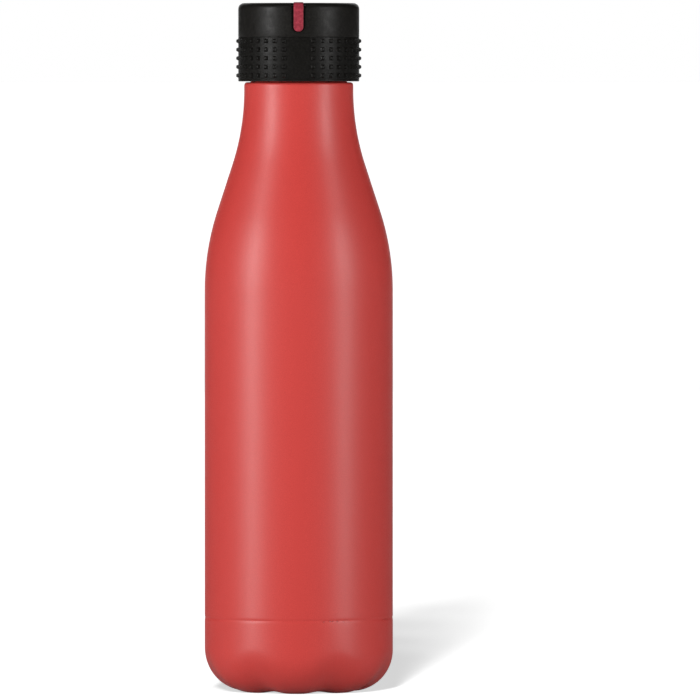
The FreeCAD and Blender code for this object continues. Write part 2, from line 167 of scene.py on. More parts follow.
class BaseSizes(PropertyGroup):
    """Sizes of the footed base."""

    feet: count("Feet", "Number of rounded feet", 7, 3)
    steps_per_foot: count("Steps per foot", "Steps round each foot", 44, 8)
    front_foot: angle("Front foot", "Direction of the foot nearest the front", -93)
    foot_corner: length("Foot corner", "Radius of a foot's round corner", 15)
    valley_corner: length("Valley corner", "Radius of a valley's round corner", 17)
    valley_rise: length("Valley rise", "Lowest point of a valley above the floor", 0.7)
    valley_sharpness: number("Valley sharpness", "Above 1, valleys are narrower than feet", 1.8, min=0.5)
    centre: length("Centre", "Radius of the flat middle", 10.5)
    dimple: length("Dimple", "Radius of the dimple in the middle", 4.6)
    hole: length("Hole", "Radius of the evacuation hole", 1.2)


class CapSizes(PropertyGroup):
    """Sizes of the cap and what is moulded on it."""

    rim: length("Rim", "Radius of the cap's top edge", 2.2)
    lower_edge: length("Lower edge", "Radius of the cap's lower edge", 0.4)
    wall: length("Wall", "Thickness of the cap's side", 1.8)
    top_wall: length("Top wall", "Thickness of the cap's top", 2.2)
    band_depth: length("Band depth", "Thickness of the grip band", 1.0)
    stud_rows: count("Stud rows", "Rows of studs", 5, 1)
    stud_row_pitch: length("Row pitch", "From one row of studs to the next", 3.2)
    stud_places: count("Stud places", "Places round the band", 39, 8)
    stud_places_out: count("Places left out", "Places with no stud at the front", 2, 0)
    stud_base: length("Stud base", "Width of a stud's foot", 1.7)
    stud_top: length("Stud top", "Width of a stud's flat top", 0.9)
    stud_height: length("Stud height", "How far a stud stands out", 0.75)
    stud_root: length("Stud root", "How deep a stud is rooted", 0.2)
    stud_round: length("Stud rounding", "Rounding of a stud's edges", 0.12)
    tab_width: length("Tab width", "Width of the marker tab", 3.6)
    tab_margin: length("Tab margin", "Open groove on each side of the tab", 0.8)
    tab_end_gap: length("Tab end gap", "Open groove at each end of the tab", 0.4)
    tab_sink: length("Tab sink", "Depth of the tab's groove", 0.9)
    tab_round: length("Tab rounding", "Rounding of the tab's edges", 0.22)
    plug_clearance: length("Plug clearance", "From the plug to the mouth's wall", 1.2)
    plug_wall: length("Plug wall", "Thickness of the plug", 1.4)
    plug_edge: length("Plug edge", "Radius of the plug's lower edge", 1.5)
    skirt_wall: length("Skirt wall", "Thickness of the thread skirt", 1.5)
    ceiling_wall: length("Ceiling wall", "Thickness of the inner cap over the lip", 1.8)


class ThreadSizes(PropertyGroup):
    """Sizes of the threads on the collar and in the cap."""

    starts: count("Starts", "Ridges that run side by side", 2, 1)
    lead: length("Lead", "Rise in one turn", 8)
    steps: count("Steps", "Steps in one turn of a ridge", 96, 16)
    root_width: length("Root width", "Width of a ridge at its foot", 1.7)
    crest_width: length("Crest width", "Width of a ridge at its crest", 0.8)
    height: length("Height", "How far a ridge stands out", 0.95)
    root: length("Root depth", "How deep a ridge is rooted", 0.15)
    collar_turns: number("Collar turns", "Turns of each ridge on the collar", 1.25)
    collar_rise: length("Collar rise", "From the neck's top to a collar ridge's start", 2.2)
    skirt_turns: number("Skirt turns", "Turns of each ridge in the cap", 1.1)
    fade: number("Fade", "Share of a turn over which a ridge's end fades out", 0.09)


class Colours(PropertyGroup):
    """Colours of the finishes."""

    paint: colour("Paint", "Powder coat on the shell and base", (0.57, 0.053, 0.045))
    paint_deep: colour("Deep paint", "Darker grains of the powder coat", (0.50, 0.042, 0.036))
    cap: colour("Cap", "Outer cap", (0.0062, 0.0056, 0.0048))
    band: colour("Grip band", "Soft band and its studs", (0.0050, 0.0046, 0.0040))
    marker: colour("Marker", "Marker tab", (0.235, 0.026, 0.040))
    inner_cap: colour("Inner cap", "Thread skirt and plug", (0.022, 0.022, 0.022))
    steel: colour("Steel", "Bare stainless steel", (0.60, 0.59, 0.57))
    silicone: colour("Silicone", "Gasket", (0.72, 0.72, 0.69))
    solder: colour("Solder", "Vacuum seal", (0.34, 0.34, 0.33))
    getter: colour("Getter", "Pressed metal powder", (0.09, 0.085, 0.08))
    foam: colour("Foam", "Closed-cell foam", (0.80, 0.78, 0.72))
    floor: colour("Floor", "Floor and backdrop", (0.90, 0.90, 0.90))


class StageSizes(PropertyGroup):
    """Camera, floor and lights."""

    camera_distance: metres("Camera distance", "From the axis", 4.3)
    camera_height: length("Camera height", "Above the floor", 231)
    camera_side: length("Camera side", "How far the camera stands to the right of the axis", 19.05)
    aim_height: length("Aim height", "Height that the camera looks at", 127)
    lens: number("Lens", "Focal length in millimetres", 594.6)
    floor_size: metres("Floor size", "Side of the floor", 400)
    floor_glow: number("Floor glow", "Light that the camera and reflections see", 0.66)
    sky_fill: number("Sky fill", "World light on matt surfaces", 0.10)
    sun_azimuths: sun_series(
        "Sun azimuths", "From the camera's direction", [math.radians(a) for a in (-5.5, -4.6, -3.7, -2.8)]
    )
    sun_elevations: sun_series(
        "Sun elevations", "Above the horizon", [math.radians(a) for a in (16.5, 20, 25, 33)]
    )
    sun_strengths: sun_series("Sun strengths", "On the floor", (1.30, 0.80, 0.50, 0.38))
    sun_softness: angle("Sun softness", "Angle that each sun spans", 3.5)
    room_radius: metres("Room radius", "Of the dark room", 6)
    room_height: metres("Room height", "Of the dark room", 5)
    room_opening: angle("Room opening", "Angle left open behind the bottle", 40)
    mat_radius: metres("Mat radius", "Of the dark mat", 4)


# ---------------------------------------------------------------- modelling helpers

def set_mode(mode):
    bpy.ops.object.mode_set(mode=mode)


def start_fresh():
    """Leaves edit mode, deselects everything and goes back to selecting by points."""
    if bpy.context.object and bpy.context.object.mode != "OBJECT":
        set_mode("OBJECT")
    bpy.ops.object.select_all(action="DESELECT")
    bpy.context.tool_settings.mesh_select_mode = (True, False, False)


def pick(piece):
    """Makes a piece the only one selected, and the active one."""
    start_fresh()
    bpy.context.view_layer.objects.active = piece
    piece.select_set(True)


def delete_piece(piece):
    start_fresh()
    piece.select_set(True)
    bpy.ops.object.delete()


def select_whole_mesh():
    """In edit mode: selects all of the active piece."""
    bpy.ops.mesh.select_all(action="SELECT")


def unselect(*groups):
    """In object mode: clears the selection of a mesh's points, edges or faces."""
    for group in groups:
        for part in group:
            part.select = False


def copy_round(copies, turn):
    """In edit mode: copies the selection that many times, spread over a turn about the axis."""
    bpy.ops.mesh.spin(steps=copies, dupli=True, angle=turn, center=(0, 0, 0), axis=(0, 0, 1))


def name_piece(piece, name):
    piece.name = name
    piece.data.name = name


def draw_outline(name, points, direction=0.0):
    """Draws an outline of (radius, height) points by extruding one vertex, in the plane of a direction."""
    start_fresh()
    across = (math.cos(direction), math.sin(direction))
    places = [(r * across[0], r * across[1], z) for r, z in points]
    bpy.ops.mesh.primitive_plane_add(size=MM)
    piece = bpy.context.object
    name_piece(piece, name)
    set_mode("EDIT")
    select_whole_mesh()
    bpy.ops.mesh.merge(type="CENTER")
    bpy.ops.transform.translate(value=places[0])
    for a, b in zip(places, places[1:]):
        step = tuple(q - p for p, q in zip(a, b))
        bpy.ops.mesh.extrude_vertices_move(TRANSFORM_OT_translate={"value": step})
    return piece


def close_surface():
    """In edit mode: merges doubled points and turns all faces outwards."""
    select_whole_mesh()
    bpy.ops.mesh.remove_doubles(threshold=MERGE)
    bpy.ops.mesh.normals_make_consistent(inside=False)


def lathe(name, outline, steps):
    """Spins an outline of (radius, height) points into a closed round piece."""
    on_axis = [radius < MERGE for radius, _ in outline]
    starts = [i for i in range(len(outline)) if on_axis[i] and on_axis[i - 1]]
    if starts:
        path = outline[starts[0]:] + outline[:starts[0]]
    else:
        path = outline + outline[:1]
    piece = draw_outline(name, path)
    select_whole_mesh()
    bpy.ops.mesh.spin(steps=steps, angle=FULL_TURN, center=(0, 0, 0), axis=(0, 0, 1))
    close_surface()
    set_mode("OBJECT")
    return piece


def apply_modifier(piece, kind, **settings):
    """Adds a modifier with these settings to a piece and applies it."""
    pick(piece)
    bpy.ops.object.modifier_add(type=kind)
    modifier = piece.modifiers[-1]
    for key, value in settings.items():
        setattr(modifier, key, value)
    bpy.ops.object.modifier_apply(modifier=modifier.name)


def smooth(piece, limit=32):
    """Smooth shading, with edges sharper than a limit in degrees left crisp."""
    pick(piece)
    bpy.ops.object.shade_smooth_by_angle(angle=math.radians(limit))


def join(pieces):
    """Joins pieces into the first of them."""
    pick(pieces[0])
    for piece in pieces[1:]:
        piece.select_set(True)
    bpy.ops.object.join()
    return pieces[0]


def finish_piece(piece, body, material, nodes=()):
    """Gives a piece its material, slot and body, and hides the CAD nodes that it stands for."""
    piece.data.materials.clear()
    piece.data.materials.append(material)
    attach(piece, body)
    if nodes:
        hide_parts(*nodes)


def around(centre, radius, turn):
    """The point of a circle in a direction."""
    return (centre[0] + radius * math.cos(turn), centre[1] + radius * math.sin(turn))


def arc(centre, radius, start, end, steps):
    """Points of an arc about a (radius, height) centre, with angles from the outward direction."""
    return [around(centre, radius, start + (end - start) * i / steps) for i in range(steps + 1)]


def ease(start, end, steps):
    """Points of an S-curve that leaves and arrives level."""
    points = []
    for i in range(1, steps):
        t = i / steps
        rise = t * t * (3 - 2 * t)
        points.append((start[0] + (end[0] - start[0]) * t, start[1] + (end[1] - start[1]) * rise))
    return points


def shoulder(sizes, body_r, neck_r, neck_low_z, depth):
    """The wall's outline from a straight body up to a straight neck, at a depth in the wall."""
    slope = sizes.shoulder_slope
    rise = 1 - math.cos(slope)
    hollow = (neck_r + sizes.shoulder_in, neck_low_z)
    top = (neck_r + sizes.shoulder_in * rise, neck_low_z - sizes.shoulder_in * math.sin(slope))
    low_r = body_r - sizes.shoulder_out * rise
    low_z = top[1] - (low_r - top[0]) / math.tan(slope)
    swell = (body_r - sizes.shoulder_out, low_z - sizes.shoulder_out * math.sin(slope))
    return [
        *arc(swell, sizes.shoulder_out - depth, 0, slope, 18),
        *arc(hollow, sizes.shoulder_in + depth, math.pi + slope, math.pi, 18),
    ]


# ---------------------------------------------------------------- material helpers

class Finish:
    """A Principled material whose nodes are added by short calls."""

    def __init__(self, name, **sockets):
        self.material = bpy.data.materials.new(name)
        self.material.use_nodes = True
        self.nodes = self.material.node_tree.nodes
        self.links = self.material.node_tree.links
        self.shader = self.nodes["Principled BSDF"]
        for key, value in sockets.items():
            self.shader.inputs[key.replace("_", " ")].default_value = value
        self.place = self.nodes.new("ShaderNodeTexCoord").outputs["Object"]

    def stretched(self, scale):
        """Object coordinates scaled apart along X, Y and Z."""
        mapping = self.nodes.new("ShaderNodeMapping")
        mapping.inputs["Scale"].default_value = scale
        self.links.new(self.place, mapping.inputs["Vector"])
        return mapping.outputs["Vector"]

    def noise(self, grain, detail=2.0, vector=None):
        """Noise with grains of about this size in metres."""
        node = self.nodes.new("ShaderNodeTexNoise")
        node.inputs["Scale"].default_value = 1 / grain
        node.inputs["Detail"].default_value = detail
        self.links.new(vector or self.place, node.inputs["Vector"])
        return node.outputs["Fac"]

    def cells(self, grain):
        """Rounded cells of about this size in metres."""
        node = self.nodes.new("ShaderNodeTexVoronoi")
        node.inputs["Scale"].default_value = 1 / grain
        self.links.new(self.place, node.inputs["Vector"])
        return node.outputs["Distance"]

    def remap(self, value, low, high, to_low=0, to_high=1):
        """Stretches a value from one range to another."""
        node = self.nodes.new("ShaderNodeMapRange")
        for key, end in (("From Min", low), ("From Max", high), ("To Min", to_low), ("To Max", to_high)):
            node.inputs[key].default_value = end
        self.links.new(value, node.inputs["Value"])
        return node.outputs["Result"]

    def blend(self, share, first, second):
        """Mixes two colours by a share."""
        node = self.nodes.new("ShaderNodeMix")
        node.data_type = "RGBA"
        self.links.new(share, node.inputs["Factor"])
        node.inputs["A"].default_value = (*first, 1)
        node.inputs["B"].default_value = (*second, 1)
        self.links.new(node.outputs["Result"], self.shader.inputs["Base Color"])

    def roughen(self, share, low, high):
        self.links.new(self.remap(share, 0.35, 0.65, low, high), self.shader.inputs["Roughness"])

    def bump(self, height, distance, strength=1.0):
        """Adds relief of a depth in metres; a second call lies on the first."""
        node = self.nodes.new("ShaderNodeBump")
        node.inputs["Distance"].default_value = distance
        node.inputs["Strength"].default_value = strength
        self.links.new(height, node.inputs["Height"])
        normal = self.shader.inputs["Normal"]
        if normal.is_linked:
            self.links.new(normal.links[0].from_socket, node.inputs["Normal"])
        self.links.new(node.outputs["Normal"], normal)


def once(name, make):
    """The material of that name, made at its first use."""
    return bpy.data.materials.get(name) or make()


def powder_coat(context):
    """Satin powder coat: fine grains, a faint orange peel and a soft clear top."""
    def make():
        colours = context.scene.bottle_colours
        finish = Finish("powder_coat", Coat_Weight=0.12, Coat_Roughness=0.34, IOR=1.45)
        grains = finish.noise(0.22 * MM, 3)
        finish.blend(finish.remap(grains, 0.38, 0.62), colours.paint, colours.paint_deep)
        finish.roughen(finish.noise(0.6 * MM), 0.40, 0.50)
        finish.bump(finish.noise(1.6 * MM, 1), 0.010 * MM)
        finish.bump(grains, 0.012 * MM, 0.7)
        return finish.material
    return once("powder_coat", make)


def moulded_plastic(name, tint, roughness, relief, shine=0.5):
    """Satin moulded plastic with a fine spark-eroded skin."""
    def make():
        finish = Finish(name, IOR=1.5, Specular_IOR_Level=shine)
        skin = finish.noise(0.16 * MM, 3)
        lighter = tuple(min(1.0, part * 1.5 + 0.002) for part in tint)
        finish.blend(finish.remap(finish.noise(0.7 * MM, 2), 0.4, 0.65), tint, lighter)
        finish.roughen(finish.noise(2.5 * MM), roughness - 0.04, roughness + 0.05)
        finish.bump(skin, relief)
        return finish.material
    return once(name, make)


def turned_steel(context, name, roughness, line, depth):
    """Bare stainless steel with fine lines round it."""
    def make():
        tint = context.scene.bottle_colours.steel
        finish = Finish(name, Metallic=1.0)
        lines = finish.noise(line, 2, finish.stretched((0.02, 0.02, 1)))
        darker = tuple(part * 0.86 for part in tint)
        finish.blend(finish.remap(lines, 0.35, 0.65), tint, darker)
        finish.roughen(finish.noise(3 * MM), roughness - 0.05, roughness + 0.06)
        finish.bump(lines, depth)
        return finish.material
    return once(name, make)


def silicone(context):
    """Milky silicone rubber with a faint grain."""
    def make():
        tint = context.scene.bottle_colours.silicone
        finish = Finish("milky_silicone", Subsurface_Weight=0.35, Subsurface_Scale=1 * MM, IOR=1.41)
        finish.blend(finish.remap(finish.noise(1.2 * MM), 0.3, 0.7), tint, tuple(0.93 * c for c in tint))
        finish.roughen(finish.noise(0.8 * MM), 0.38, 0.5)
        finish.bump(finish.noise(0.2 * MM), 0.006 * MM)
        return finish.material
    return once("milky_silicone", make)


def one_pattern(name, tint, pattern, spread, darker, rough, depth, **sockets):
    """A finish whose colour, roughness and relief all follow one pattern."""
    def make():
        finish = Finish(name, **sockets)
        grains = pattern(finish)
        finish.blend(finish.remap(grains, *spread), tint, tuple(darker * c for c in tint))
        finish.roughen(grains, *rough)
        finish.bump(grains, depth)
        return finish.material
    return once(name, make)


def solder_bead(context):
    """Dull, slightly rippled solder."""
    return one_pattern(
        "dull_solder", context.scene.bottle_colours.solder, lambda finish: finish.noise(1.1 * MM, 3),
        (0.3, 0.7), 0.6, (0.42, 0.6), 0.05 * MM, Metallic=0.85,
    )


def pressed_powder(context):
    """Porous pressed metal powder."""
    return one_pattern(
        "pressed_powder", context.scene.bottle_colours.getter, lambda finish: finish.cells(0.18 * MM),
        (0.1, 0.7), 0.4, (0.6, 0.85), 0.03 * MM, Metallic=0.6,
    )


def cell_foam(context):
    """Closed-cell foam."""
    return one_pattern(
        "cell_foam", context.scene.bottle_colours.foam, lambda finish: finish.cells(0.5 * MM),
        (0.1, 0.8), 0.86, (0.75, 0.9), 0.06 * MM, IOR=1.35,
    )


def black_cap(context):
    return moulded_plastic("satin_black_moulding", context.scene.bottle_colours.cap, 0.42, 0.005 * MM, 0.15)


def inner_black(context):
    return moulded_plastic("inner_black_moulding", context.scene.bottle_colours.inner_cap, 0.34, 0.004 * MM)


def grip_rubber(context):
    return moulded_plastic("studded_rubber", context.scene.bottle_colours.band, 0.42, 0.005 * MM, 0.11)


def marker_red(context):
    return moulded_plastic("red_moulding", context.scene.bottle_colours.marker, 0.40, 0.004 * MM, 0.2)


def bright_steel(context):
    return turned_steel(context, "turned_steel", 0.24, 0.12 * MM, 0.003 * MM)


def flask_steel(context):
    return turned_steel(context, "flask_steel", 0.30, 0.35 * MM, 0.006 * MM)


# ---------------------------------------------------------------- the bottle's two walls

def weld_groove(walls):
    """The soft groove across the weld, as nine outline points upwards."""
    return [
        (BODY_R - walls.seam_depth * math.sin(math.pi * t) ** 2, SEAM_Z + walls.seam_width * (t - 0.5))
        for t in [i / 8 for i in range(9)]
    ]


def neck_top_z(walls):
    return CAP_LOW_Z - walls.cap_float


def neck_low_z(walls):
    """Where the straight neck meets the shoulder."""
    return neck_top_z(walls) - walls.neck_edge - walls.neck_straight


def mouth_radius(walls):
    """Radius of the opening inside the flask's neck."""
    return COLLAR_R - walls.shell_wall - walls.collar_gap - walls.flask_wall


def make_outer_shell(context):
    """Painted wall with its shoulder and neck, up to the neck's rounded edge, and its hidden inside."""
    sizes = context.scene.bottle_sizes
    neck_top = neck_top_z(sizes)
    edge, wall = sizes.neck_edge, sizes.shell_wall
    seam_top = SEAM_Z + sizes.seam_width / 2
    outside = [
        (BODY_R - sizes.seam_depth, SEAM_Z),
        *weld_groove(sizes)[5:],
        (BODY_R, seam_top + GUARD),
        *[(BODY_R, seam_top + RING_GAP * (i + 1)) for i in range(RINGS)],
        *shoulder(sizes, BODY_R, NECK_R, neck_low_z(sizes), 0),
        *arc((NECK_R - edge, neck_top - edge), edge, 0, math.pi / 2, 8),
        (COLLAR_R + COLLAR_ROOT, neck_top),
        *arc((COLLAR_R + COLLAR_ROOT, neck_top + COLLAR_ROOT), COLLAR_ROOT, -math.pi / 2, -math.pi, 4)[1:],
    ]
    inner_r = COLLAR_R - wall
    inside = [
        (inner_r, neck_top + COLLAR_ROOT),
        (inner_r, neck_top - wall),
        (NECK_R - wall, neck_top - wall),
        *shoulder(sizes, BODY_R, NECK_R, neck_low_z(sizes), wall)[::-1],
        (BODY_R - wall, SEAM_Z),
    ]
    piece = lathe("painted_shell", outside + inside, sizes.turns)
    smooth(piece)
    finish_piece(piece, "bottle", powder_coat(context), ["outer_shell"])


def make_collar(context):
    """Bare collar over the neck, with its softened top edge and its rolled thread ridges."""
    sizes, threads = context.scene.bottle_sizes, context.scene.bottle_threads
    neck_top, wall = neck_top_z(sizes), sizes.shell_wall
    soft = 0.2 * MM
    outline = [
        (COLLAR_R, neck_top + COLLAR_ROOT),
        (COLLAR_R, COLLAR_TOP_Z - soft),
        *arc((COLLAR_R - soft, COLLAR_TOP_Z - soft), soft, 0, math.pi / 2, 4)[1:],
        (COLLAR_R - wall, COLLAR_TOP_Z),
        (COLLAR_R - wall, neck_top + COLLAR_ROOT),
    ]
    collar = lathe("steel_collar", outline, sizes.turns)
    ridges = thread_ridges(
        threads, "collar_thread", COLLAR_R, neck_top + threads.collar_rise, threads.collar_turns, 1
    )
    piece = join([collar, ridges])
    name_piece(piece, "steel_collar")
    smooth(piece, 40)
    finish_piece(piece, "bottle", bright_steel(context), ["outer_shell"])


def ridge_section(threads, wall_r, centre_z, side):
    """Half-round section of a thread ridge on a wall: side is 1 outwards and -1 inwards."""
    root, crest = threads.root_width / 2, threads.crest_width / 2
    levels = [  # how far out, and half the ridge's width there
        (-threads.root, root),
        (0, root),
        (0.62 * threads.height, (root + crest) / 2),
        (0.94 * threads.height, 0.86 * crest),
        (threads.height, 0.4 * crest),
    ]
    low = [(wall_r + side * out, centre_z - half) for out, half in levels]
    high = [(wall_r + side * out, centre_z + half) for out, half in levels[::-1]]
    return low + high


def thread_ridges(threads, name, wall_r, low_z, turns, side):
    """Right-handed thread ridges on a round wall, whose ends sink into the wall."""
    section = ridge_section(threads, wall_r, low_z, side)
    steps = round(threads.steps * turns)
    ridge = draw_outline(name, section + section[:1], FRONT)
    close_surface()
    set_mode("OBJECT")
    apply_modifier(
        ridge, "SCREW", axis="Z", angle=FULL_TURN * turns, screw_offset=threads.lead * turns,
        steps=steps, render_steps=steps, use_merge_vertices=False,
    )
    sink_ends(ridge, threads, len(section), steps, turns, side)
    set_mode("EDIT")
    select_whole_mesh()
    bpy.ops.mesh.fill_holes(sides=0)
    close_surface()
    copy_round(threads.starts - 1, FULL_TURN * (threads.starts - 1) / threads.starts)
    set_mode("OBJECT")
    return ridge


def sink_ends(ridge, threads, points_round, steps, turns, side):
    """Moves the first and last rings of a wound ridge into the wall, the outermost ring deepest."""
    fading = max(2, round(threads.fade * threads.steps))
    depth = END_SINK * threads.height
    for ring in range(fading):
        sink = depth * (1 - math.sin(math.pi / 2 * ring / fading))
        for place in (ring, steps - ring):
            first = place * points_round
            middle = ridge.data.vertices[first].co
            out = (middle.x / math.hypot(middle.x, middle.y), middle.y / math.hypot(middle.x, middle.y))
            pick(ridge)
            for vertex in ridge.data.vertices:
                vertex.select = first <= vertex.index < first + points_round
            unselect(ridge.data.edges, ridge.data.polygons)
            set_mode("EDIT")
            bpy.ops.transform.translate(value=(-side * sink * out[0], -side * sink * out[1], 0))
            set_mode("OBJECT")


def base_outline(sizes, walls, corner, low_z):
    """The base's closed outline through a foot or through a valley, with the same points in each."""
    wall = walls.shell_wall
    roof_z = SEAL_HIGH.z - wall
    centre_z = SEAL_LOW.z
    middle = (BODY_R - corner, low_z + corner)
    side = [(BODY_R, SEAM_Z - walls.seam_width / 2 - GUARD), (BODY_R, SEAM_Z - BASE_SIDE)]
    soft = 0.35 * MM
    weld_top = SEAM_Z + walls.weld_overlap
    return [
        (BODY_R - walls.seam_depth - WELD_TUCK, weld_top),
        *weld_groove(walls)[3::-1],
        *side,
        *arc(middle, corner, 0, -math.pi / 2, CORNER_STEPS),
        *ease((BODY_R - corner, low_z), (sizes.centre, centre_z), RISE_STEPS),
        (sizes.centre, centre_z),
        *arc((sizes.dimple + soft, centre_z + soft), soft, -math.pi / 2, -math.pi, 5),
        (sizes.dimple, roof_z),
        (sizes.hole, roof_z),
        (sizes.hole, roof_z + wall),
        (sizes.dimple + wall, roof_z + wall),
        (sizes.dimple + wall, centre_z + wall),
        (sizes.centre, centre_z + wall),
        *ease((sizes.centre, centre_z + wall), (BODY_R - corner, low_z + wall), RISE_STEPS),
        *arc(middle, corner - wall, -math.pi / 2, 0, CORNER_STEPS),
        (BODY_R - wall, weld_top),
    ]


def make_base_cup(context):
    """Round base, blended between a foot's outline and a valley's so that rounded feet stand out."""
    sizes, walls = context.scene.bottle_base, context.scene.bottle_sizes
    steps = sizes.feet * sizes.steps_per_foot
    foot = lathe("base", base_outline(sizes, walls, sizes.foot_corner, 0), steps)
    valley = lathe("valleys", base_outline(sizes, walls, sizes.valley_corner, sizes.valley_rise), steps)
    pick(foot)
    valley.select_set(True)
    bpy.ops.object.join_shapes()
    share = foot.vertex_groups.new(name="valley_share")
    for vertex in foot.data.vertices:
        phase = sizes.feet * (math.atan2(vertex.co.y, vertex.co.x) - sizes.front_foot)
        share.add([vertex.index], ((1 - math.cos(phase)) / 2) ** sizes.valley_sharpness, "REPLACE")
    foot.active_shape_key_index = 1
    key = foot.data.shape_keys.key_blocks[1]
    key.vertex_group = share.name
    key.value = 1
    bpy.ops.object.shape_key_remove(all=True, apply_mix=True)
    foot.vertex_groups.remove(share)
    delete_piece(valley)
    smooth(foot, 40)
    finish_piece(foot, "bottle", powder_coat(context), ["base_cup"])


def make_seal(context):
    """Solder bead in the base's dimple."""
    sizes, walls = context.scene.bottle_base, context.scene.bottle_sizes
    bead_r = SEAL_HIGH.x
    roof_z = SEAL_HIGH.z - walls.shell_wall
    swell = 0.3 * MM
    side_z = SEAL_LOW.z + swell
    turns = [math.pi / 2 * i / 8 for i in range(8)]
    crown = [(bead_r * math.sin(t), side_z - swell * math.cos(t) ** 1.5) for t in turns]
    outline = [
        *crown,
        (bead_r, side_z),
        (bead_r + 0.12 * MM, side_z + 0.2 * MM),
        (bead_r, roof_z),
        (sizes.hole, roof_z),
        (sizes.hole, SEAL_HIGH.z),
        (0, SEAL_HIGH.z),
    ]
    piece = lathe("solder_bead", outline, 64)
    smooth(piece)
    finish_piece(piece, "bottle", solder_bead(context), ["vacuum_seal"])


def make_flask(context):
    """Inner wall with its rounded lip, and the pressed bottom welded to it."""
    sizes = context.scene.bottle_sizes
    wall, edge = sizes.flask_wall, sizes.lip_edge
    neck_low = neck_low_z(sizes)
    mouth_r = mouth_radius(sizes)
    neck_r = mouth_r + wall
    outline = [
        (FLASK_R, FLASK_SEAM_Z),
        *shoulder(sizes, FLASK_R, neck_r, neck_low, 0),
        (neck_r, COLLAR_TOP_Z),
        (COLLAR_R - edge, COLLAR_TOP_Z),
        *arc((COLLAR_R - edge, COLLAR_TOP_Z + edge), edge, -math.pi / 2, 0, 6)[1:],
        *arc((COLLAR_R - edge, LIP_TOP_Z - edge), edge, 0, math.pi / 2, 6),
        *arc((mouth_r + edge, LIP_TOP_Z - edge), edge, math.pi / 2, math.pi, 6),
        *shoulder(sizes, FLASK_R, neck_r, neck_low, wall)[::-1],
        (FLASK_R - wall, FLASK_SEAM_Z),
    ]
    flask = lathe("inner_wall", outline, sizes.turns)
    smooth(flask)
    finish_piece(flask, "bottle", flask_steel(context), ["inner_flask"])

    corner = context.scene.bottle_base.valley_corner - FLASK_CORNER_LESS
    middle = (FLASK_R - corner, BOTTOM_LOW.z + corner)
    outline = [
        (0, BOTTOM_LOW.z),
        *arc(middle, corner, -math.pi / 2, 0, 20),
        (FLASK_R, FLASK_SEAM_Z),
        (FLASK_R - wall, FLASK_SEAM_Z),
        (FLASK_R - wall - 0.12 * MM, FLASK_SEAM_Z - 0.3 * MM),
        (FLASK_R - wall, FLASK_SEAM_Z - 0.7 * MM),
        *arc(middle, corner - wall, 0, -math.pi / 2, 20),
        (0, BOTTOM_LOW.z + wall),
    ]
    bottom = lathe("inner_floor", outline, sizes.turns)
    smooth(bottom)
    finish_piece(bottom, "bottle", flask_steel(context), ["inner_bottom"])


# ---------------------------------------------------------------- the closure

def cap_profile(sizes, offset, low_z, inner_r):
    """Points up the cap's side, round its rim and in to a radius, that far outside the cap."""
    rim = sizes.rim
    return [
        (CAP_R + offset, low_z),
        *arc((CAP_R - rim, CAP_TOP_Z - rim), rim + offset, 0, math.pi / 2, 12),
        (inner_r, CAP_TOP_Z + offset),
    ]


def tab_strip(sizes, name, inner, outer, width, end_gap, end_round):
    """A strip over the cap's rim at the front, between two offsets from it, with rounded ends."""
    low_z = TAB_LOW.z - end_gap
    inner_r = -TAB_HIGH.y - end_gap
    section = (
        cap_profile(sizes, outer, low_z, inner_r) + cap_profile(sizes, inner, low_z, inner_r)[::-1]
    )
    strip = draw_outline(name, section + section[:1], FRONT)
    select_whole_mesh()
    bpy.ops.mesh.remove_doubles(threshold=MERGE)
    bpy.ops.mesh.edge_face_add()
    bpy.ops.transform.translate(value=(-width / 2, 0, 0))
    bpy.ops.mesh.extrude_region_move(TRANSFORM_OT_translate={"value": (width, 0, 0)})
    close_surface()
    set_mode("OBJECT")
    select_edges(strip, lambda a, b: abs(a.x - b.x) < MERGE and (
        max(a.z, b.z) < low_z + MERGE or min(a.y, b.y) > -inner_r - MERGE
    ))
    bpy.ops.mesh.bevel(offset=end_round, segments=6, affect="EDGES")
    close_surface()
    set_mode("OBJECT")
    return strip


def select_edges(piece, wanted):
    """Enters edit mode with the edges selected whose two ends answer a test."""
    pick(piece)
    points = piece.data.vertices
    unselect(points, piece.data.edges, piece.data.polygons)
    for edge in piece.data.edges:
        edge.select = wanted(*[points[i].co for i in edge.vertices])
    bpy.context.tool_settings.mesh_select_mode = (False, True, False)
    set_mode("EDIT")


def make_cap_shell(context):
    """Moulded outer cap, recessed for the band and grooved for the marker tab."""
    sizes, walls = context.scene.bottle_cap, context.scene.bottle_sizes
    edge = sizes.lower_edge
    inner_r = CAP_R - sizes.wall
    floor_r = CAP_R - sizes.band_depth
    soft = 0.18 * MM
    outline = [
        (inner_r, CAP_LOW_Z),
        *arc((CAP_R - edge, CAP_LOW_Z + edge), edge, -math.pi / 2, 0, 5),
        *arc((CAP_R - soft, BAND_LOW.z - soft), soft, 0, math.pi / 2, 3),
        (floor_r, BAND_LOW.z),
        (floor_r, BAND_HIGH.z),
        *arc((CAP_R - soft, BAND_HIGH.z + soft), soft, -math.pi / 2, 0, 3),
        (CAP_R, BAND_HIGH.z + RIM_LEAD),
        *cap_profile(sizes, 0, CAP_TOP_Z - sizes.rim - RIM_LEAD, 0.75 * CAP_R),
        (0.4 * CAP_R, CAP_TOP_Z),
        (0, CAP_TOP_Z),
        (0, CAP_TOP_Z - sizes.top_wall),
        (inner_r, CAP_TOP_Z - sizes.top_wall),
    ]
    cap = lathe("outer_cap", outline, walls.turns)
    cutter = tab_strip(
        sizes, "tab_groove_cutter", -sizes.tab_sink, OVERSHOOT, sizes.tab_width + 2 * sizes.tab_margin,
        sizes.tab_end_gap, TAB_END * sizes.tab_width + sizes.tab_margin,
    )
    apply_modifier(cap, "BOOLEAN", operation="DIFFERENCE", solver="EXACT", object=cutter)
    delete_piece(cutter)
    smooth(cap)
    finish_piece(cap, "cap", black_cap(context), ["cap_shell"])


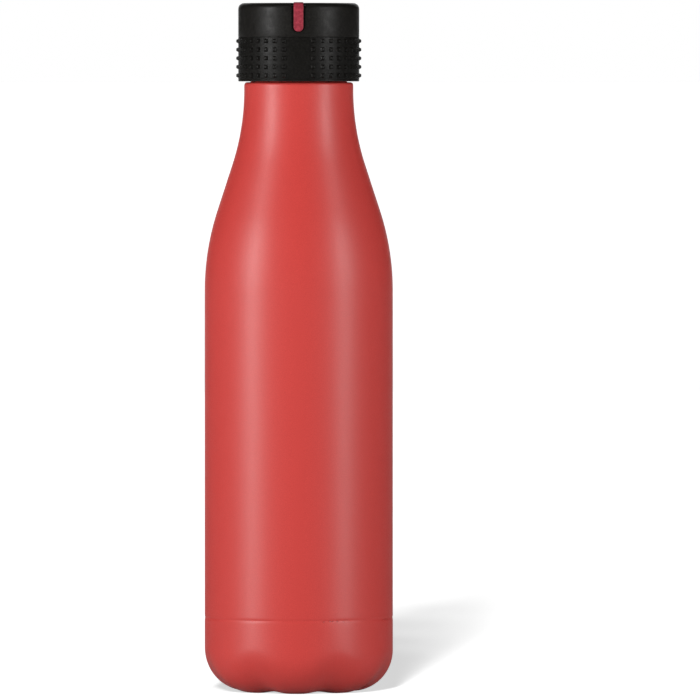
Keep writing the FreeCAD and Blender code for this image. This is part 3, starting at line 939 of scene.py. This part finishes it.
def make_marker_tab(context):
    """Coloured tab over the cap's rim, with softened edges."""
    sizes = context.scene.bottle_cap
    tab = tab_strip(
        sizes, "marker_tab_moulding", -sizes.tab_sink + TAB_CLEARANCE, TAB_HIGH.z - CAP_TOP_Z,
        sizes.tab_width, 0, TAB_END * sizes.tab_width,
    )
    apply_modifier(
        tab, "BEVEL", limit_method="ANGLE", angle_limit=math.radians(50), width=sizes.tab_round, segments=3
    )
    smooth(tab, 40)
    finish_piece(tab, "cap", marker_red(context), ["marker_tab"])


def make_grip_band(context):
    """Soft band with one stud modelled, repeated up a column and round the cap."""
    sizes, walls = context.scene.bottle_cap, context.scene.bottle_sizes
    floor_r = CAP_R - sizes.band_depth
    soft = 0.15 * MM
    outline = [
        (floor_r, BAND_LOW.z),
        *arc((CAP_R - soft, BAND_LOW.z + soft), soft, -math.pi / 2, 0, 3),
        *arc((CAP_R - soft, BAND_HIGH.z - soft), soft, 0, math.pi / 2, 3),
        (floor_r, BAND_HIGH.z),
    ]
    band = lathe("band", outline, walls.turns)
    studs = make_studs(sizes)
    piece = join([band, studs])
    name_piece(piece, "studded_band")
    smooth(piece, 50)
    finish_piece(piece, "cap", grip_rubber(context), ["grip_band"])


def make_studs(sizes):
    """One bevelled stud, its column by an array, and the columns by turned copies."""
    first_z = (BAND_LOW.z + BAND_HIGH.z - sizes.stud_row_pitch * (sizes.stud_rows - 1)) / 2
    step = FULL_TURN / sizes.stud_places
    gap = step * (sizes.stud_places_out + 1) / 2
    depth = sizes.stud_height + sizes.stud_root
    slope = (sizes.stud_base - sizes.stud_top) / 2 / sizes.stud_height
    root = sizes.stud_base + 2 * slope * sizes.stud_root
    middle_r = CAP_R + (sizes.stud_height - sizes.stud_root) / 2
    start_fresh()
    bpy.ops.mesh.primitive_cube_add(size=1, location=(0, -middle_r, first_z))
    stud = bpy.context.object
    name_piece(stud, "studs")
    stud.scale = (root, depth, root)
    bpy.ops.object.transform_apply(location=True, rotation=True, scale=True)
    for face in stud.data.polygons:
        face.select = face.normal.y < -0.9
    for edge in stud.data.edges:
        edge.select = all(stud.data.vertices[i].co.y < -middle_r for i in edge.vertices)
    for vertex in stud.data.vertices:
        vertex.select = vertex.co.y < -middle_r
    set_mode("EDIT")
    shrink = sizes.stud_top / root
    bpy.ops.transform.resize(value=(shrink, 1, shrink), center_override=(0, -middle_r, first_z))
    set_mode("OBJECT")
    select_edges(stud, lambda a, b: min(a.y, b.y) < -middle_r)
    bpy.ops.mesh.bevel(offset=sizes.stud_round, segments=2, affect="EDGES")
    set_mode("OBJECT")
    apply_modifier(
        stud, "ARRAY", count=sizes.stud_rows, use_relative_offset=False, use_constant_offset=True,
        constant_offset_displace=(0, 0, sizes.stud_row_pitch),
    )
    pick(stud)
    set_mode("EDIT")
    select_whole_mesh()
    copy_round(1, gap)
    bpy.ops.mesh.select_all(action="INVERT")
    bpy.ops.mesh.delete(type="VERT")
    select_whole_mesh()
    columns = sizes.stud_places - sizes.stud_places_out
    copy_round(columns - 1, step * (columns - 1))
    select_whole_mesh()
    bpy.ops.mesh.normals_make_consistent(inside=False)
    set_mode("OBJECT")
    return stud


def make_inner_cap(context):
    """Thread skirt and hollow plug in one moulding, with thread ridges inside the skirt."""
    scene = context.scene
    sizes, threads, walls = scene.bottle_cap, scene.bottle_threads, scene.bottle_sizes
    bore_r = SKIRT_R - sizes.skirt_wall
    skirt_low, top_z = INNER_CAP_LOW.z, INNER_CAP_HIGH.z
    ceiling_z = top_z - sizes.ceiling_wall
    plug_r = mouth_radius(walls) - sizes.plug_clearance
    plug_low = ceiling_z - PLUG_DEPTH
    edge = sizes.plug_edge
    soft = 0.3 * MM
    outline = [
        (bore_r, skirt_low + soft),
        *arc((bore_r + soft, skirt_low + soft), soft, math.pi, 1.5 * math.pi, 4)[1:],
        *arc((SKIRT_R - soft, skirt_low + soft), soft, -math.pi / 2, 0, 4),
        (SKIRT_R, top_z),
        (plug_r - sizes.plug_wall, top_z),
        (plug_r - sizes.plug_wall, plug_low + sizes.plug_wall),
        (0, plug_low + sizes.plug_wall),
        (0, plug_low),
        (0.5 * plug_r, plug_low),
        *arc((plug_r - edge, plug_low + edge), edge, -math.pi / 2, 0, 8),
        (plug_r, ceiling_z),
        (bore_r, ceiling_z),
    ]
    cup = lathe("cap_skirt_and_plug", outline, walls.turns)
    collar_low = neck_top_z(walls) + threads.collar_rise
    half_pitch = threads.lead / threads.starts / 2
    ridges = thread_ridges(threads, "cap_thread", bore_r, collar_low + half_pitch, threads.skirt_turns, -1)
    piece = join([cup, ridges])
    name_piece(piece, "cap_skirt_and_plug")
    smooth(piece, 40)
    finish_piece(piece, "cap", inner_black(context), ["inner_cap"])


def make_gasket(context):
    """Flat silicone ring with rounded edges."""
    inner_r = hole_radius("lip_gasket")
    soft = 0.3 * MM
    low, high = GASKET_LOW.z + soft, GASKET_HIGH.z - soft
    rounded = (
        (inner_r + soft, low, math.pi), (GASKET_R - soft, low, 1.5 * math.pi),
        (GASKET_R - soft, high, 0), (inner_r + soft, high, math.pi / 2),
    )
    outline = [point for r, z, start in rounded for point in arc((r, z), soft, start, start + math.pi / 2, 4)]
    piece = lathe("silicone_ring", outline, context.scene.bottle_sizes.turns)
    smooth(piece)
    finish_piece(piece, "gasket", silicone(context), ["lip_gasket"])


def hole_radius(node):
    """Radius of the round hole through a node."""
    return min(math.hypot(v.co.x, v.co.y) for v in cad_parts[node].data.vertices)


def dress_node(node, material):
    """Gives a CAD node that stays as it is its material."""
    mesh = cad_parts[node].data
    mesh.materials.clear()
    mesh.materials.append(material)


# ---------------------------------------------------------------- stage

def seen_directly(nodes, links):
    """1 for camera, glossy and transmission rays, and 0 for the light that falls on matt surfaces."""
    path = nodes.new("ShaderNodeLightPath")
    seen = path.outputs["Is Camera Ray"]
    for ray in ("Is Glossy Ray", "Is Transmission Ray"):
        either = nodes.new("ShaderNodeMath")
        either.operation = "MAXIMUM"
        links.new(seen, either.inputs[0])
        links.new(path.outputs[ray], either.inputs[1])
        seen = either.outputs["Value"]
    return seen


def white_world(sizes):
    """A white world to the camera and in reflections, and a plainer fill on matt surfaces."""
    world = bpy.data.worlds.new("white_world")
    world.use_nodes = True
    nodes, links = world.node_tree.nodes, world.node_tree.links
    strength = nodes.new("ShaderNodeMapRange")
    strength.inputs["To Min"].default_value = sizes.sky_fill
    strength.inputs["To Max"].default_value = 1.0
    links.new(seen_directly(nodes, links), strength.inputs["Value"])
    background = nodes["Background"]
    background.inputs["Color"].default_value = (1, 1, 1, 1)
    links.new(strength.outputs["Result"], background.inputs["Strength"])
    bpy.context.scene.world = world


def floor_material(sizes, tint):
    """Matt floor that glows where it is seen or reflected, so that it is pale with a soft shadow on it."""
    finish = Finish("pale_floor", Roughness=0.9)
    finish.blend(finish.noise(0.3), tint, tuple(0.99 * c for c in tint))
    glow = finish.nodes.new("ShaderNodeEmission")
    glow.inputs["Color"].default_value = (1, 1, 1, 1)
    seen = finish.remap(seen_directly(finish.nodes, finish.links), 0, 1, 0, sizes.floor_glow)
    finish.links.new(seen, glow.inputs["Strength"])
    both = finish.nodes.new("ShaderNodeAddShader")
    finish.links.new(finish.shader.outputs["BSDF"], both.inputs[0])
    finish.links.new(glow.outputs["Emission"], both.inputs[1])
    finish.links.new(both.outputs["Shader"], finish.nodes["Material Output"].inputs["Surface"])
    return finish.material


def add_softbox(name, azimuth, height, distance, width, tall, watts):
    """A soft light at an azimuth from the camera's direction, aimed at the bottle's middle."""
    turn = math.radians(azimuth)
    place = (distance * math.sin(turn), -distance * math.cos(turn), height)
    start_fresh()
    bpy.ops.object.light_add(type="AREA", location=place)
    lamp = bpy.context.object
    lamp.name = name
    lamp.data.shape = "RECTANGLE"
    lamp.data.size = width
    lamp.data.size_y = tall
    lamp.data.energy = watts
    aim(lamp, BOTTLE_MIDDLE)
    return lamp


def add_softboxes(floor):
    """Lights that the floor doesn't receive; the last two show in no reflection."""
    all_but_floor = bpy.data.collections.new("lit_by_softboxes")
    all_but_floor.objects.link(floor)
    all_but_floor.collection_objects[0].light_linking.link_state = "EXCLUDE"
    lamps = (
        add_softbox("left_softbox", -58, 0.30, 1.5, 0.36, 1.3, 26),
        add_softbox("right_softbox", 57, 0.30, 1.5, 0.34, 1.3, 18),
        add_softbox("front_light", -7, 0.90, 3.0, 0.6, 0.6, 31),
        add_softbox("back_light", 180, 0.90, 3.0, 0.6, 0.6, 36),
    )
    for lamp in lamps[2:]:
        lamp.visible_glossy = False
    for lamp in lamps:
        lamp.light_linking.receiver_collection = all_but_floor


def add_floor_suns(sizes, floor):
    """Low suns that only the floor receives, so that the bottle's shadow falls behind it and fades."""
    only_floor = bpy.data.collections.new("lit_by_floor_suns")
    only_floor.objects.link(floor)
    suns = zip(sizes.sun_azimuths, sizes.sun_elevations, sizes.sun_strengths)
    for order, (turn, rise, strength) in enumerate(suns, 1):
        start_fresh()
        bpy.ops.object.light_add(type="SUN")
        sun = bpy.context.object
        sun.name = f"floor_sun_{order}"
        sun.data.energy = strength
        sun.data.angle = sizes.sun_softness
        sun.location = (math.sin(turn) * math.cos(rise), -math.cos(turn) * math.cos(rise), math.sin(rise))
        aim(sun, (0, 0, 0))
        sun.light_linking.receiver_collection = only_floor


def aim(piece, target):
    """Turns a lamp or camera so that it looks at a point, with its top up."""
    x, y, z = [b - a for a, b in zip(piece.location, target)]
    piece.rotation_euler = (math.atan2(math.hypot(x, y), -z), 0, math.atan2(-x, y))


def matt_paint(name, grey):
    """Matt grey paint for what stands round the bottle out of the camera's sight."""
    def make():
        finish = Finish(name, Roughness=1.0, Specular_IOR_Level=0.0)
        finish.blend(finish.noise(0.5), (grey,) * 3, (1.05 * grey,) * 3)
        return finish.material
    return once(name, make)


def add_dark_room(sizes):
    """Dark wall and ceiling that only light and reflections meet, open behind the bottle."""
    start_fresh()
    bpy.ops.mesh.primitive_cylinder_add(
        vertices=72, radius=sizes.room_radius, depth=sizes.room_height, location=(0, 0, sizes.room_height / 2)
    )
    room = bpy.context.object
    name_piece(room, "dark_room")
    bpy.ops.object.transform_apply(location=True, rotation=True, scale=True)
    opening = math.cos(sizes.room_opening / 2)
    for face in room.data.polygons:
        away = face.normal.y > opening and abs(face.normal.z) < 0.5
        face.select = away or face.normal.z < -0.5
    unselect(room.data.vertices, room.data.edges)
    bpy.context.tool_settings.mesh_select_mode = (False, False, True)
    set_mode("EDIT")
    bpy.ops.mesh.delete(type="FACE")
    set_mode("OBJECT")
    room.data.materials.append(matt_paint("dark_paint", 0.05))
    room.visible_camera = False
    room.visible_shadow = False


def add_dark_mat(sizes):
    """Dark ring on the floor round the bottle, out of the camera's sight, that keeps its foot dark."""
    start_fresh()
    bpy.ops.mesh.primitive_circle_add(
        vertices=96, radius=sizes.mat_radius, fill_type="NGON", location=(0, 0, MAT_LIFT)
    )
    mat = bpy.context.object
    name_piece(mat, "dark_mat")
    bpy.ops.object.transform_apply(location=True, rotation=True, scale=True)
    mat.data.materials.append(matt_paint("grey_paint", 0.5))
    mat.visible_camera = False
    mat.visible_shadow = False


def make_stage(context):
    """Floor, world, lights and camera."""
    scene = context.scene
    sizes = scene.bottle_stage
    start_fresh()
    bpy.ops.mesh.primitive_plane_add(size=sizes.floor_size)
    floor = bpy.context.object
    name_piece(floor, "floor")
    floor.data.materials.append(floor_material(sizes, tuple(scene.bottle_colours.floor)))
    white_world(sizes)
    add_softboxes(floor)
    add_floor_suns(sizes, floor)
    add_dark_room(sizes)
    add_dark_mat(sizes)
    start_fresh()
    bpy.ops.object.camera_add(location=(sizes.camera_side, -sizes.camera_distance, sizes.camera_height))
    camera = bpy.context.object
    aim(camera, (sizes.camera_side, 0, sizes.aim_height))
    camera.data.lens = sizes.lens
    camera.data.clip_end = 2 * sizes.floor_size
    scene.camera = camera
    scene.view_settings.view_transform = "Standard"


# ---------------------------------------------------------------- operators

class BottleOperator(Operator):
    """Base of the operators that build one group of pieces"""

    bl_options = {"REGISTER", "UNDO"}
    steps = ()

    def execute(self, context):
        for step in self.steps:
            step(context)
        return {"FINISHED"}


class BOTTLE_OT_shell(BottleOperator):
    """Model the painted shell and the bare threaded collar"""

    bl_idname = "bottle.shell"
    bl_label = "Outer shell"
    steps = (make_outer_shell, make_collar)


class BOTTLE_OT_base(BottleOperator):
    """Model the footed base and the bead that seals it"""

    bl_idname = "bottle.base"
    bl_label = "Base"
    steps = (make_base_cup, make_seal)


class BOTTLE_OT_flask(BottleOperator):
    """Model the inner flask and its bottom"""

    bl_idname = "bottle.flask"
    bl_label = "Inner flask"
    steps = (make_flask,)


class BOTTLE_OT_cap(BottleOperator):
    """Model the outer cap and its marker tab"""

    bl_idname = "bottle.cap"
    bl_label = "Cap"
    steps = (make_cap_shell, make_marker_tab)


class BOTTLE_OT_grip_band(BottleOperator):
    """Model the studded grip band"""

    bl_idname = "bottle.grip_band"
    bl_label = "Grip band"
    steps = (make_grip_band,)


class BOTTLE_OT_inner_cap(BottleOperator):
    """Model the inner cap with its plug and threads"""

    bl_idname = "bottle.inner_cap"
    bl_label = "Inner cap"
    steps = (make_inner_cap,)


class BOTTLE_OT_gasket(BottleOperator):
    """Model the lip gasket"""

    bl_idname = "bottle.gasket"
    bl_label = "Gasket"
    steps = (make_gasket,)


class BOTTLE_OT_hidden_pieces(BottleOperator):
    """Dress the getter, its holder and the foam in the cap"""

    bl_idname = "bottle.hidden_pieces"
    bl_label = "Hidden pieces"
    steps = (
        lambda context: dress_node("getter_pellet", pressed_powder(context)),
        lambda context: dress_node("getter_holder", bright_steel(context)),
        lambda context: dress_node("cap_insulation", cell_foam(context)),
    )


class BOTTLE_OT_stage(BottleOperator):
    """Set up the floor, lights and camera"""

    bl_idname = "bottle.stage"
    bl_label = "Stage"
    steps = (make_stage,)


OPERATORS = (
    BOTTLE_OT_shell, BOTTLE_OT_base, BOTTLE_OT_flask, BOTTLE_OT_cap, BOTTLE_OT_grip_band,
    BOTTLE_OT_inner_cap, BOTTLE_OT_gasket, BOTTLE_OT_hidden_pieces, BOTTLE_OT_stage,
)


class BOTTLE_PT_panel(Panel):
    """Lists the bottle's sizes, colours and steps"""

    bl_idname = "BOTTLE_PT_panel"
    bl_label = "Water bottle"
    bl_space_type = "VIEW_3D"
    bl_region_type = "UI"
    bl_category = "Bottle"

    def draw(self, context):
        for operator in OPERATORS:
            self.layout.operator(operator.bl_idname)
        for name in GROUPS:
            box = self.layout.box()
            group = getattr(context.scene, name)
            for key in group.bl_rna.properties.keys():
                if key not in ("rna_type", "name"):
                    box.prop(group, key)


GROUPS = {
    "bottle_sizes": BottleSizes,
    "bottle_base": BaseSizes,
    "bottle_cap": CapSizes,
    "bottle_threads": ThreadSizes,
    "bottle_colours": Colours,
    "bottle_stage": StageSizes,
}


def register():
    for group in GROUPS.values():
        bpy.utils.register_class(group)
    for operator in OPERATORS:
        bpy.utils.register_class(operator)
    bpy.utils.register_class(BOTTLE_PT_panel)
    for name, group in GROUPS.items():
        setattr(bpy.types.Scene, name, PointerProperty(type=group))


def unregister():
    for name in GROUPS:
        delattr(bpy.types.Scene, name)
    bpy.utils.unregister_class(BOTTLE_PT_panel)
    for operator in reversed(OPERATORS):
        bpy.utils.unregister_class(operator)
    for group in reversed(GROUPS.values()):
        bpy.utils.unregister_class(group)


def main():
    register()
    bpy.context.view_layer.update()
    for operator in OPERATORS:
        family, name = operator.bl_idname.split(".")
        getattr(getattr(bpy.ops, family), name)()


if __name__ == "__main__":
    main()
